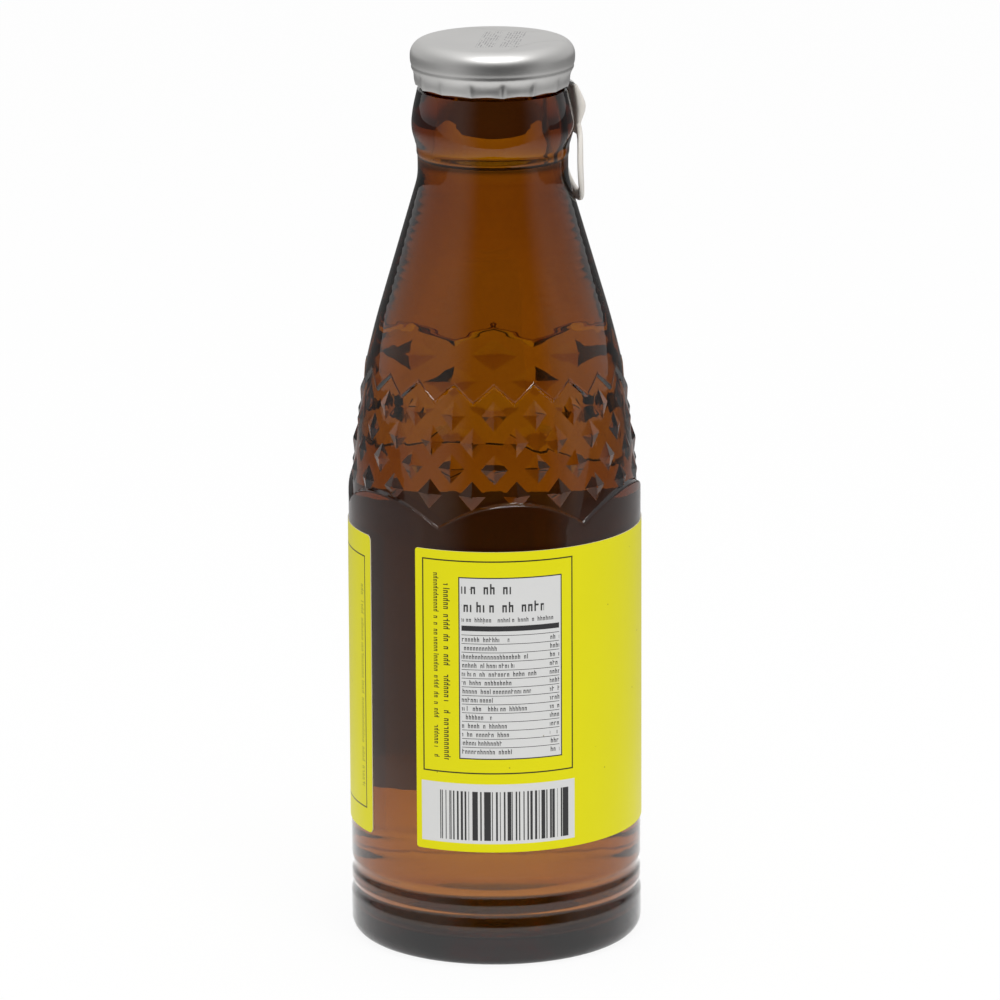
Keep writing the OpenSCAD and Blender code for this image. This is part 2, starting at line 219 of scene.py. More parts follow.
def finish(name, fill):
    """A named material whose surface and volume come from fill(recipe)."""
    material = bpy.data.materials.new(name)
    recipe = Recipe(material)
    surface, volume = fill(recipe)
    links = {"Surface": surface} if volume is None else {"Surface": surface, "Volume": volume}
    out = recipe.tree.nodes.new("ShaderNodeOutputMaterial")
    for key, value in links.items():
        recipe.tree.links.new(value.socket, out.inputs[key])
    print("Finish", name, "has", len(recipe.tree.nodes), "nodes")
    return material


def rgb(red, green, blue):
    """A colour given as it looks on screen, 0 to 255, in the linear values that a shader takes."""
    linear = [((c / 255 + 0.055) / 1.055) ** 2.4 if c > 10 else c / 255 / 12.92
              for c in (red, green, blue)]
    return (*linear, 1)


print("White paper as the shader sees it:", [round(v, 3) for v in rgb(201, 201, 201)])


# %% [markdown]
# ## Making a piece
#
# Every piece is a list of points and faces in millimetres. One helper turns it into an object,
# tells the frame which body carries it, hides the CAD node it stands for, and gives it its finishes.

# %% Pieces and turned outlines
def make_piece(name, points, faces, body, stands_for, materials, sharp=30.0):
    mesh = bpy.data.meshes.new(name)
    mesh.from_pydata((np.asarray(points) * MM).tolist(), [], faces)
    mesh.validate()
    mesh.shade_smooth()
    mesh.set_sharp_from_angle(angle=math.radians(sharp))
    for material in materials:
        mesh.materials.append(material)
    piece = bpy.data.objects.new(name, mesh)
    bpy.context.scene.collection.objects.link(piece)
    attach(piece, body)
    if stands_for:
        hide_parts(stands_for)
    print(name, "has", len(points), "points and", len(faces), "faces")
    return piece


def turned(outline, columns, first_azimuth=0.0):
    """Turns an outline of (radius, height) about the axis. Points on the axis become one pole."""
    points, rows, faces = [], [], []
    azimuths = first_azimuth + np.arange(columns) * 360 / columns
    for radius, height in outline:
        at = len(points)
        if radius < 1e-6:
            points.append((0, 0, height))
            rows.append([at] * columns)
        else:
            points.extend(around(azimuths, radius, height).tolist())
            rows.append(list(range(at, at + columns)))
    for low, high in zip(rows, rows[1:]):
        for i in range(columns):
            j = (i + 1) % columns
            ring = [low[i], low[j], high[j], high[i]]
            faces.append([p for k, p in enumerate(ring) if p not in ring[:k]])
    return points, faces


print("Outlines are turned about the axis.")

# %% [markdown]
# ## The outline of the glass
#
# The bottle was blown in a mould: a round heel, two shallow grooves, a straight panel for the
# label, one long curve that becomes a cone, and the collar and bead that the cap grips. The main
# sizes are those of the CAD source, in finer steps, because refraction shows every facet. Three
# things differ from it: the grooves and the step under the collar have softer edges, and the base
# is pushed up deeper from below, with a domed floor over it.

# %% Sizes of the glass
PANEL_R, HEEL_R, SHOULDER_TOP_R = 24.6, 24.7, 24.7
SHOULDER_Z, CONE_ANGLE = 68.8, 16.4
NECK_R, NECK_Z, NECK_FILLET = 12.56, 130.7, 10.0
LIP_Z, BEAD_R, BORE_R = 153.1, 13.2, 9.5
INNER_NECK_R, INNER_NECK_Z = 10.0, 128.6     # inside of the neck, and where its curve begins
WALL = 2.7
INNER_R = PANEL_R - WALL
INWARD = SHOULDER_TOP_R - INNER_R       # how far the cavity lies inside the shoulder curve

lean = math.radians(CONE_ANGLE)
SHOULDER_R = (((NECK_Z - SHOULDER_Z) * math.tan(lean) - SHOULDER_TOP_R + NECK_R)
              * math.cos(lean) / (1 - math.cos(lean)))
CONE_Z = SHOULDER_Z + SHOULDER_R * math.sin(lean)


def shoulder_at(z):
    """Outer radius of the long shoulder curve at a height."""
    return SHOULDER_TOP_R - SHOULDER_R + np.sqrt(SHOULDER_R**2 - (z - SHOULDER_Z) ** 2)


CONE_R = float(shoulder_at(CONE_Z))
print("The shoulder curve has a radius of", round(SHOULDER_R, 1), "mm")


# %% Outline from the base up to the diamond band
def grooved(z):
    """Radius of the lower body, with two soft grooves let into it."""
    radius = np.interp(z, [7.0, 8.85], [HEEL_R, PANEL_R])
    for deepest, above, below in GROOVES:
        away = np.where(z > deepest, (z - deepest) / above, (deepest - z) / below)
        radius -= GROOVE_DEPTH * (0.5 + 0.5 * np.cos(np.pi * np.clip(away, 0, 1)))
    return radius


BAND_LOW_Z, BAND_HIGH_Z = 74.4, 101.0
GROOVE_DEPTH, GROOVES = 0.28, ((8.85, 0.95, 1.85), (12.2, 1.7, 1.45))
rest_in, punt_h = 19.5, 5.6
punt_curve = (rest_in**2 + punt_h**2) / (2 * punt_h)
punt_sweep = math.degrees(math.asin(rest_in / punt_curve))
groove_z = np.arange(6.8, 14.3, 0.15)
lower_outline = np.concatenate([
    arc([0, punt_h - punt_curve], punt_curve, 90, 90 - punt_sweep, 8),
    arc([21.9, 2.8], 2.8, -90, 0, 10),
    np.stack([grooved(groove_z), groove_z], 1),
    [[PANEL_R, z] for z in (18, 30, 45, 60, 70, BAND_LOW_Z)]])
print("Lower outline:", len(lower_outline), "points")

# %% Outline from the diamond band over the lip and down inside
shoulder_z = np.linspace(BAND_HIGH_Z, CONE_Z, 7)
inner_angle = math.degrees(math.atan((CONE_R - WALL - INNER_NECK_R) / (INNER_NECK_Z - CONE_Z)))


def neck_curve(r, z, angle, steps=10):
    centre = [r + NECK_FILLET, z + NECK_FILLET * math.tan(math.radians(angle / 2))]
    return arc(centre, NECK_FILLET, 180 + angle, 180, steps)


inner_z = np.linspace(SHOULDER_Z, CONE_Z, 16)
INNER_HEEL, DOME_Z, TROUGH_Z = 2.3, 8.4, 4.1
trough_r = INNER_R - INNER_HEEL
cavity_outline = np.concatenate([
    [[r, DOME_Z - (DOME_Z - TROUGH_Z) * (r / trough_r) ** 2] for r in trough_r * np.arange(12) / 12],
    arc([trough_r, TROUGH_Z + INNER_HEEL], INNER_HEEL, -90, 0, 10),
    np.stack([shoulder_at(inner_z) - INWARD, inner_z], 1),
    neck_curve(INNER_NECK_R, INNER_NECK_Z, inner_angle),
    [[INNER_NECK_R, 135.2], [9.7, 138], [BORE_R, 139.6]]])
upper_outline = np.concatenate([
    np.stack([shoulder_at(shoulder_z), shoulder_z], 1),
    neck_curve(NECK_R, NECK_Z, CONE_ANGLE),
    [[12.56, 133.2], [12.58, 134.2], [12.62, 134.5], [12.7, 134.75], [12.74, 135.0],
     [12.75, 135.4], [12.77, 135.9], [12.83, 136.25], [12.97, 136.7], [13.13, 137.3],
     [13.28, 137.8], [13.41, 138.3], [13.5, 138.8], [13.55, 139.4], [13.55, 140.2], [13.46, 141.1],
     [13.3, 142.2], [13.06, 143.4], [12.8, 144.5], [12.56, 145.6], [12.02, 145.95],
     [12.02, 146.7], [12.75, 148.6], [BEAD_R, 149.9]],
    arc([11.1, 151.0], 2.1, 0, 90, 8),
    arc([BORE_R + 0.9, LIP_Z - 0.9], 0.9, 90, 180, 5),
    cavity_outline[::-1]])
print("Upper outline:", len(upper_outline), "points")

# %% [markdown]
# ## The moulded diamond band
#
# The band is sunk a little below the shoulder. Its upper edge is a zigzag, its lower edge a row of
# arches, and four staggered rows of small four-sided points stand in it. A grid of squares would
# give those slanting edges a staircase, which glass would show. So the band is drawn flat first,
# as azimuth against height, and a constrained triangulation keeps every edge of the pattern as an
# edge of the mesh. Then the flat drawing is wrapped round the bottle.
#
# Moulded glass has no sharp corners. A low bead runs along the zigzag and a soft ledge over the
# arches: their slopes that face up catch the lamp as the thin bright lines that draw the pattern.

# %% The band as a height map
DIAMONDS, ROWS, TOP_ROW_Z, ROW_PITCH = 20, 4, 94.6, 4.4
DIAMOND_W, DIAMOND_H, RELIEF, BAND_DEPTH = 4.5, 5.0, 0.55, 0.45
ZIGZAG_Z, ZIGZAG_H = 96.7, 3.0
ARCHES, CUSP_Z, ARCH_RISE, ARCH_AZIMUTH = 6, 75.5, 4.4, 7.3
BEAD = ([-0.55, -0.25, -0.05, 0.14, 0.34], [0, 0.72, 1.13, 1.22, 1])
LEDGE = ([-0.16, 0, 0.12, 0.28, 0.46], [1, 0.95, 0.82, 0.35, 0])
BLUNT = 0.10
PITCH = 360 / DIAMONDS
MM_PER_DEGREE = math.radians(23.4)


def zigzag(azimuth):
    """Height of the zigzag edge, with its peaks above the top row's points."""
    off = np.abs((azimuth / PITCH + 0.5) % 1 - 0.5) * 2
    return ZIGZAG_Z + ZIGZAG_H * (1 - off)


def arches(azimuth):
    """Height of the arches along the top of the label panel."""
    span = 360 / ARCHES
    off = (azimuth - ARCH_AZIMUTH + span / 2) % span - span / 2
    across = PANEL_R * math.sin(math.radians(span / 2))
    radius = (across**2 + ARCH_RISE**2) / (2 * ARCH_RISE)
    aside = PANEL_R * np.sin(np.radians(off))
    return CUSP_Z + ARCH_RISE - radius + np.sqrt(radius**2 - aside**2)


def in_diamond(azimuth, z):
    """1 at a diamond's middle, 0 on its outline and less outside it."""
    best = np.full(np.broadcast(azimuth, z).shape, -9.0)
    for row in range(ROWS):
        shift = (row % 2) / 2
        off = np.abs((azimuth / PITCH + shift + 0.5) % 1 - 0.5) * PITCH * MM_PER_DEGREE
        rise = np.abs(z - (TOP_ROW_Z - row * ROW_PITCH))
        best = np.maximum(best, 1 - off / (DIAMOND_W / 2) - rise / (DIAMOND_H / 2))
    return best


def glass_radius(azimuth, z):
    """Outer radius of the glass anywhere in the band."""
    field = shoulder_at(z) - BAND_DEPTH
    skin = field + BAND_DEPTH * np.interp(z - zigzag(azimuth), *BEAD)
    panel = np.interp(z - arches(azimuth), *LEDGE)
    radius = skin + (PANEL_R - skin) * panel
    points = RELIEF * np.clip(in_diamond(azimuth, z), 0, 1 - BLUNT)
    return np.maximum(radius, np.where(points > 0, field + points, 0))


print("Radius on a diamond's point:", round(float(glass_radius(0.0, TOP_ROW_Z)), 2), "mm")

# %% The band's edges, drawn flat
COLUMNS = 240
SEAM = -171.0
flat_points, flat_edges = [], []


def draw(line, closed=False):
    """Adds a line of (azimuth, height) to the flat drawing."""
    at = len(flat_points)
    flat_points.extend((a * MM_PER_DEGREE, z) for a, z in line)
    flat_edges.extend((at + i, at + i + 1) for i in range(len(line) - 1))
    if closed:
        flat_edges.append((at + len(line) - 1, at))


columns = SEAM + np.arange(COLUMNS + 1) * 360 / COLUMNS
for z in (BAND_LOW_Z, BAND_HIGH_Z):
    draw([(a, z) for a in columns])
zig_azimuths = SEAM + np.arange(0, 4 * DIAMONDS + 1) * PITCH / 4
arch_azimuths = np.sort(np.concatenate(
    [columns, ARCH_AZIMUTH + 30 + 60 * np.arange(-3, 3)]))
for rise in BEAD[0]:
    draw([(a, float(zigzag(a)) + rise) for a in zig_azimuths])
for rise in LEDGE[0]:
    draw([(a, float(arches(a)) + rise) for a in arch_azimuths])
seam_step = (BAND_HIGH_Z - BAND_LOW_Z) / 20
for end in (SEAM, SEAM + 360):
    draw([(end, z) for z in np.arange(BAND_LOW_Z, BAND_HIGH_Z + 0.01, seam_step)])
print("Edges drawn so far:", len(flat_edges))

# %% The diamonds' edges
half_w, half_h = DIAMOND_W / 2 / MM_PER_DEGREE, DIAMOND_H / 2
for row in range(ROWS):
    for i in range(-10, 12):
        middle, z = (i - (row % 2) / 2) * PITCH, TOP_ROW_Z - row * ROW_PITCH
        if not SEAM - 0.01 <= middle <= SEAM + 360.01:
            continue
        cut_left, cut_right = abs(middle - SEAM) < 0.1, abs(middle - SEAM - 360) < 0.1
        for size in (1.0, BLUNT):
            ring = [(middle, z - half_h * size), (middle + half_w * size, z),
                    (middle, z + half_h * size), (middle - half_w * size, z)]
            if cut_left:
                ring = ring[:3]
            if cut_right:
                ring = [ring[2], ring[3], ring[0]]
            draw(ring, closed=not (cut_left or cut_right))
        for side in ((0, -1), (1, 0), (0, 1), (-1, 0)):
            if (cut_left and side[0] < 0) or (cut_right and side[0] > 0):
                continue
            draw([(middle + half_w * side[0] * s, z + half_h * side[1] * s) for s in (BLUNT, 1)])
print("Edges with the diamonds:", len(flat_edges))

# %% Fill points, triangulation and wrapping
grid_a, grid_z = np.meshgrid(SEAM + np.arange(1, 240) * 1.5, np.arange(75.4, 100.6, 1.3))
grid_a, grid_z = grid_a.ravel(), grid_z.ravel()
clear = (in_diamond(grid_a, grid_z) < -0.12)
for line, (offsets, _) in ((zigzag(grid_a), BEAD), (arches(grid_a), LEDGE)):
    clear &= (grid_z < line + offsets[0] - 0.25) | (grid_z > line + offsets[-1] + 0.25)
flat_points.extend(zip(grid_a[clear] * MM_PER_DEGREE, grid_z[clear]))

flat = [Vector(map(float, p)) for p in flat_points]
verts, _, band_faces, *_ = delaunay_2d_cdt(flat, flat_edges, [], 0, 1e-4)
band_flat = np.array([v[:] for v in verts])
band_azimuth, band_z = band_flat[:, 0] / MM_PER_DEGREE, band_flat[:, 1]
band_points = around(band_azimuth, glass_radius(band_azimuth, band_z), band_z)
print("The band has", len(band_faces), "triangles")

# %% [markdown]
# ## The finish of the glass
#
# Brown glass swallows blue at once, green over a few millimetres and red only over a centimetre.
# That is why thin walls look orange, and the thick base looks black. It is a volume effect, so
# the colour is not painted on: the surface is clear and colourless, and an absorbing volume inside
# it takes light away with distance. The surface has the faint waviness that hot glass keeps from
# its mould, and fine rings on the shoulder where the mould was turned.

# %% Amber glass


def amber(recipe):
    x, y, z = place(recipe)
    waves = noise(recipe, 7, 1.5)
    rings = (z * (2 * math.pi / 1.58)).maths("SINE") * 0.5 + 0.5
    shoulder = soft_step(z, 103, 110) * (1 - soft_step(z, 126, 131))
    height = waves * 0.9 + rings * shoulder * 0.07
    surface = recipe.node("ShaderNodeBsdfPrincipled", {}, {
        "Base Color": (1, 1, 1, 1), "Roughness": 0.015, "IOR": 1.52, "Transmission Weight": 1.0,
        "Normal": bump(height, 0.08)})
    volume = recipe.node("ShaderNodeVolumeAbsorption", {}, {
        "Color": (0.863, 0.743, 0.0, 1), "Density": 1500})
    return surface, volume


amber_glass = finish("amber_bottle_glass", amber)

# %% The bottle


def joined(parts):
    """Joins lists of (points, faces) into one, merging points that meet."""
    all_points, all_faces = [], []
    for points, faces in parts:
        at = len(all_points)
        all_points.extend(map(tuple, points))
        all_faces.extend([p + at for p in face] for face in faces)
    keys, index, kept = {}, [], []
    for p in all_points:
        key = tuple(round(c * 2000) for c in p)
        if key not in keys:
            keys[key] = len(kept)
            kept.append(p)
        index.append(keys[key])
    faces = [[index[p] for p in face] for face in all_faces]
    faces = [[p for k, p in enumerate(f) if p not in f[:k]] for f in faces]
    return kept, [f for f in faces if len(f) > 2]


glass_points, glass_faces = joined([
    turned(lower_outline, COLUMNS, SEAM),
    (band_points, band_faces),
    turned(upper_outline, COLUMNS, SEAM)])
make_piece("moulded_glass_bottle", glass_points, glass_faces, "bottle",
           "glass_bottle", [amber_glass], sharp=11)

# %% [markdown]
# ## The drink
#
# Where a liquid touches glass there is no air between them, and the two must not be drawn as two
# surfaces with a gap, or the drink looks like a separate plug. The usual way is to let the
# liquid's skin lie a few hundredths of a millimetre inside the glass. Then a ray goes from glass
# into drink with no air between, and bends as it should. The surface climbs the wall in a small
# curve.

# %% Drink


def grown(outline, amount):
    """Moves an outline outwards along its own normals."""
    along = np.gradient(outline, axis=0)
    along /= np.linalg.norm(along, axis=1)[:, None]
    return outline + amount * np.stack([along[:, 1], -along[:, 0]], 1)


FILL_Z, MENISCUS, WET = 133.5, 0.9, 0.05
wet_wall = grown(cavity_outline, WET)
wet_wall[0, 0] = 0
wet_wall = wet_wall[wet_wall[:, 1] < FILL_Z + MENISCUS - 0.3]
climb = [[INNER_NECK_R + WET - 2 * MENISCUS * s, FILL_Z + MENISCUS * (1 - s) ** 2]
         for s in np.linspace(0, 1, 9)]
drink_outline = np.concatenate([wet_wall, climb, [[INNER_NECK_R / 2, FILL_Z], [0, FILL_Z]]])


def juice(recipe):
    surface = recipe.node("ShaderNodeBsdfPrincipled", {}, {
        "Base Color": (1, 1, 1, 1), "Roughness": 0.0, "IOR": 1.34, "Transmission Weight": 1.0})
    volume = recipe.node("ShaderNodeVolumeAbsorption", {}, {
        "Color": (0.97, 0.9, 0.3, 1), "Density": 60})
    return surface, volume


clear_drink = finish("yellow_drink", juice)
drink_points, drink_faces = turned(drink_outline, 160)
make_piece("drink_to_the_neck", drink_points, drink_faces, "bottle", "drink",
           [clear_drink], sharp=50)

# %% [markdown]
# ## The wrap-around label
#
# A satin paper label is glued round the panel, with its two ends about a centimetre apart. Its
# print is drawn in the shader from two coordinates, the azimuth and the height, so it needs no
# picture. Words are left out: each line of print is a row of stems and arches drawn at random, and
# the bars encode nothing. The back of the paper is plain, because the glass shows it, and a faint
# warm painted glow on it stands in for the light that reaches it through the glass.

# %% Marks that the print is built from
LABEL_R, LABEL_LOW, LABEL_HIGH = PANEL_R + 0.15, 20.4, 72.2
LABEL_START, LABEL_SWEEP = -32.3, 335.2
LABEL_MM = math.radians(LABEL_R)
OUTER_FRAME = (-29.2, 31.4, 33.96, 70.67)    # left and right azimuth, low and high edge
TABLE = (-14.2, 26.6, 36.49, 67.85)
BAR_GROUND, BARS = (-30.0, 32.1, 21.85, 32.22), (-22.1, 29.3, 22.41, 30.9)


def window(value, low, high):
    """1 between low and high, else 0."""
    return (value > low) * (value < high)


def panel(u, z, left, right, low, high):
    """1 inside a rectangle of the print. Left and right are azimuths in degrees."""
    return window(u, left * LABEL_MM, right * LABEL_MM) * window(z, low, high)


def frame_line(u, z, left, right, low, high, width):
    """1 on the outline of a rectangle."""
    inset = width / LABEL_MM
    inner = panel(u, z, left + inset, right - inset, low + width, high - width)
    return panel(u, z, left, right, low, high) - inner


def dice(recipe, value, seed):
    """A random number for each whole step of a value."""
    return recipe.node("ShaderNodeTexWhiteNoise", {"noise_dimensions": "1D"},
                       {"W": value.maths("FLOOR") + seed})


def glyphs(recipe, along, across, seed):
    """Stems and arches in the rhythm of words, drawn at random, so that they spell nothing."""
    letter = along / 0.6
    inside = letter.maths("FRACT")
    first, second, third = [dice(recipe, letter, seed + part) for part in (0, 0.25, 0.5)]
    stem = window(inside, 0.12, 0.36) * window(across, 0, 0.7 + (second > 0.66) * 0.3)
    arched = first > 0.08
    arch = window(inside, 0.12, 0.8) * window(across, 0.52, 0.7) * arched
    leg = window(inside, 0.58, 0.82) * window(across, 0, 0.66) * arched * (first < 0.92)
    return stem.maths("MAXIMUM", arch).maths("MAXIMUM", leg) * (third > 0.12)


print("Label: sweep", LABEL_SWEEP, "degrees,", round(LABEL_SWEEP * LABEL_MM, 1), "mm long")


# %% The printed side
def print_masks(recipe, u, z):
    """White ground, black ink: two masks over the label."""
    box_left, box_right = TABLE[0] * LABEL_MM, TABLE[1] * LABEL_MM
    white = panel(u, z, *TABLE)
    white = white.maths("MAXIMUM", panel(u, z, *BAR_GROUND))

    ink = frame_line(u, z, *OUTER_FRAME, 0.24)
    ink = ink.maths("MAXIMUM", frame_line(u, z, *TABLE, 0.2))
    from_left = u - box_left
    in_box = window(u, box_left + 0.5, box_right - 0.5)
    lines = [(in_box * (from_left < reach), from_left + low, z - low, height)
             for low, height, reach in ((65.0, 1.8, 8.8), (61.9, 1.8, 14.4), (60.2, 0.8, 16.2))]
    ink = ink.maths("MAXIMUM", in_box * window(z, 58.65, 59.55))

    row_pitch, rows_top = 1.49, 58.0
    row = (rows_top - z) / row_pitch
    number, in_row = row.maths("FLOOR"), row.maths("FRACT")
    in_rows = in_box * window(row, 0, 14)
    across = row_pitch * (1 - in_row) - 0.3
    named = in_rows * (from_left < dice(recipe, row, 11.0) * 8 + 5.5)
    lines.append((named, from_left + number * 7.3, across, 0.85))
    lines.append((in_rows * (from_left > 15.4), from_left + number * 3.1 + 60, across, 0.85))
    ink = ink.maths("MAXIMUM", in_rows * (in_row < 0.07))
    for left, height, top in ((-24.4, 0.95, 68.6), (-20.3, 1.15, 66.6)):
        lines.append((window(z, 36.2, top), z + height * 90, u - left * LABEL_MM, height))

    anywhere = along = across = 0.0
    for where, line_along, line_across, height in lines:
        where = where * window(line_across, 0, height)
        anywhere = where + anywhere
        along = where * (line_along / height) + along
        across = where * (line_across / height) + across
    ink = ink.maths("MAXIMUM", glyphs(recipe, along, across, 5.0) * anywhere)

    fine, wide = u / 0.66, u / 1.93
    bar = window(fine.maths("FRACT"), 0, dice(recipe, fine, 40.0) * 0.6 + 0.08)
    broad = window(wide.maths("FRACT"), 0, dice(recipe, wide, 44.0) * 0.62)
    bar = bar.maths("MAXIMUM", broad)
    ink = ink.maths("MAXIMUM", bar * panel(u, z, *BARS))
    return white, ink


def back_masks(recipe, u, z):
    """Plain frames on the sides that face away, and one faint upright line of strokes."""
    ink = None
    for left, right in ((-118.0, -61.4), (88.0, 178.0)):
        line = frame_line(u, z, left, right, 24.4, 68.4, 0.24)
        ink = line if ink is None else ink.maths("MAXIMUM", line)
    faint = glyphs(recipe, z / 1.1, (u + 65.2 * LABEL_MM) / 1.1, 31.0) * window(z, 28.0, 64.0)
    return ink.maths("MAXIMUM", faint * 0.5)


print("The print has a framed table, a row of bars and three upright lines.")

# %% The label's finishes


def satin_print(recipe):
    x, y, z = place(recipe)
    u = azimuth_of(x, y) * LABEL_MM
    white, ink = print_masks(recipe, u, z)
    ink = ink.maths("MAXIMUM", back_masks(recipe, u, z))
    mottle = noise(recipe, 14, 3)
    yellow = blend(recipe, mottle, rgb(216, 209, 0), rgb(220, 214, 0))
    fleck_cell = recipe.node("ShaderNodeTexVoronoi", {"feature": "F1"}, {
        "Vector": recipe.node("ShaderNodeTexCoord", output="Object"), "Scale": 260.0}, "Distance")
    flecks = (fleck_cell < 0.035) * 0.55
    ground = blend(recipe, white, yellow, rgb(209, 209, 208))
    ground = blend(recipe, flecks, ground, rgb(90, 80, 20))
    colour = blend(recipe, ink * 0.96, ground, rgb(28, 27, 30))
    grain = noise(recipe, 0.35, 3)
    fibres = noise(recipe, 5.0, 2, (1, 1, 0.35))
    surface = recipe.node("ShaderNodeBsdfPrincipled", {}, {
        "Base Color": colour, "Roughness": 0.34 + grain * 0.1 - ink * 0.06, "IOR": 1.48,
        "Specular IOR Level": 0.2,
        "Normal": bump(grain * 0.25 + fibres, 0.05)})
    return surface, None


def paper_back(recipe):
    fibres = noise(recipe, 0.8, 4)
    colour = blend(recipe, fibres, rgb(196, 190, 176), rgb(214, 209, 196))
    surface = recipe.node("ShaderNodeBsdfPrincipled", {}, {
        "Base Color": colour, "Roughness": 0.8, "Normal": bump(fibres, 0.03),
        # The faint warm emission is a painted glow: it stands in for light that reaches the paper's
        # back through the glass and through the paper.
        "Emission Color": (1.0, 0.72, 0.3, 1), "Emission Strength": 0.05})
    return surface, None


label_front = finish("printed_label", satin_print)
label_back = finish("label_paper_back", paper_back)

# %% The label's sheet
ends = (LABEL_START, LABEL_START + LABEL_SWEEP)
loop = []
for end, z, start, corner in ((ends[1], LABEL_LOW, 270, 1.0), (ends[1], LABEL_HIGH, 0, 1.0),
                              (ends[0], LABEL_HIGH, 90, 0.5), (ends[0], LABEL_LOW, 180, 0.5)):
    inward = corner if end == ends[0] else -corner
    centre = [end * LABEL_MM + inward, z + (corner if z == LABEL_LOW else -corner)]
    loop.extend(arc(centre, corner, start, start + 90, 6).tolist())
for a in np.arange(ends[0] + 3, ends[1] - 2, 1.5):
    loop.append([a * LABEL_MM, LABEL_LOW])
    loop.append([a * LABEL_MM, LABEL_HIGH])
middle = np.mean(loop, axis=0)
lows = sorted([p for p in loop if p[1] < middle[1]],
              key=lambda p: (p[0], -p[1] if p[0] < middle[0] else p[1]))
highs = sorted([p for p in loop if p[1] > middle[1]],
               key=lambda p: (-p[0], p[1] if p[0] > middle[0] else -p[1]))
loop = lows + highs
inside = [[a * LABEL_MM, z] for a in np.arange(ends[0] + 3, ends[1] - 2, 1.5)
          for z in np.linspace(LABEL_LOW + 6, LABEL_HIGH - 6, 5)]
sheet_edges = [(i, (i + 1) % len(loop)) for i in range(len(loop))]
sheet_flat = [Vector(map(float, p)) for p in loop + inside]
verts, _, sheet_faces, *_ = delaunay_2d_cdt(sheet_flat, sheet_edges, [], 1, 1e-4)
sheet = np.array([v[:] for v in verts])
outside = around(sheet[:, 0] / LABEL_MM, LABEL_R, sheet[:, 1])
glued = around(sheet[:, 0] / LABEL_MM, PANEL_R - 0.02, sheet[:, 1])
count = len(sheet)
label_faces = [list(f) for f in sheet_faces]
label_faces += [[p + count for p in reversed(f)] for f in sheet_faces]
rim = len(loop)
label_faces += [[(i + 1) % rim, i, i + count, (i + 1) % rim + count] for i in range(rim)]
label = make_piece("printed_wrap_label", np.concatenate([outside, glued]), label_faces, "bottle",
                   "wrap_label", [label_front, label_back])
for face in label.data.polygons:
    centre = sum((label.data.vertices[v].co for v in face.vertices), Vector()) / len(face.vertices)
    outwards = face.normal.x * centre.x + face.normal.y * centre.y
    face.material_index = 0 if outwards > 0.3 * math.hypot(centre.x, centre.y) else 1
print("Label faces on the printed side:", sum(f.material_index == 0 for f in label.data.polygons))

# %% [markdown]
# ## The aluminium cap
#
# The cap is drawn from thin sheet. Its edge is crimped in under the glass bead by a ring of
# fifteen fingers, which leave flat pads with a small standing pleat between each two. It is
# modelled as one turned skin whose radius changes with the azimuth, so pads, pleats and the
# slightly wavy edge come from one formula.

# %% The cap's outline and its crimps
CRIMPS, PLEAT_AZIMUTH, SHEET = 15, 7.5, 0.23
CAP_TOP, CAP_ROUND = 153.8, 2.5
skirt = np.array([[13.74, 151.3], [13.74, 150.8], [13.7, 150.3], [13.62, 149.95], [13.55, 149.75],
                  [13.53, 149.6], [13.55, 149.4], [13.52, 149.2], [13.42, 149.0], [13.26, 148.7],
                  [13.12, 148.4], [13.0, 148.0], [12.92, 147.6], [12.86, 147.2], [12.8, 146.8],
                  [12.72, 146.4], [12.66, 146.15], [12.62, 146.0]])
cap_outline = np.concatenate([
    [[0, CAP_TOP]], [[r, CAP_TOP] for r in (3, 6, 9, 10.4)],
    arc([11.24, CAP_TOP - CAP_ROUND], CAP_ROUND, 90, 0, 14)[:-1], skirt])


def crimped(azimuth, radius, height):
    """Radius and height of the cap's skin once the skirt is crimped."""
    step = 360 / CRIMPS
    off = np.abs((azimuth - PLEAT_AZIMUTH + step / 2) % step - step / 2)
    a = np.radians(azimuth)
    uneven = 1 + 0.3 * np.sin(4 * a + 0.6) + 0.25 * np.sin(7 * a + 2)
    pleat = np.exp(-((off / 1.9) ** 2)) * uneven
    low = np.clip((148.9 - height) / 1.5, 0, 1)
    low = low * low * (3 - 2 * low)
    radius = radius + low * (0.2 * pleat - 0.08 * np.clip((off - 2) / 6, 0, 1))
    edge = 0.26 - 0.06 * uneven * np.cos(np.radians(off * 15))
    return radius, height + low * np.clip(147 - height, 0, 1) * edge


print("Cap outline:", len(cap_outline), "points")

# %% The cap's solid
CAP_COLUMNS = 360
azimuths = np.arange(CAP_COLUMNS) * 360 / CAP_COLUMNS
inner_outline = grown(cap_outline, SHEET)[::-1]
inner_outline[-1, 0] = 0
cap_points, cap_faces = turned(np.concatenate([cap_outline, inner_outline])[::-1], CAP_COLUMNS)
cap_points = np.array(cap_points)
cap_azimuth = np.degrees(np.arctan2(cap_points[:, 0], -cap_points[:, 1]))
radius, height = crimped(cap_azimuth, np.hypot(cap_points[:, 0], cap_points[:, 1]), cap_points[:, 2])
cap_points = around(cap_azimuth, radius, height)
print("Cap skin:", len(cap_faces), "faces")

# %% [markdown]
# ## Scored strip
#
# Two score lines run from the ring over the top and flare apart, so that pulling the ring tears a
# strip out of the cap. The strip is a piece of its own, because it moves. Both are cut from the
# same skin with a Boolean modifier, which keeps their surfaces flush.

# %% Cutting the strip out of the cap
RING_AZIMUTH = 105
HALF_W, ROOT_W, ROOT_Y, FLARE_Y = 4.4, 10.4, 0.0, 9.5


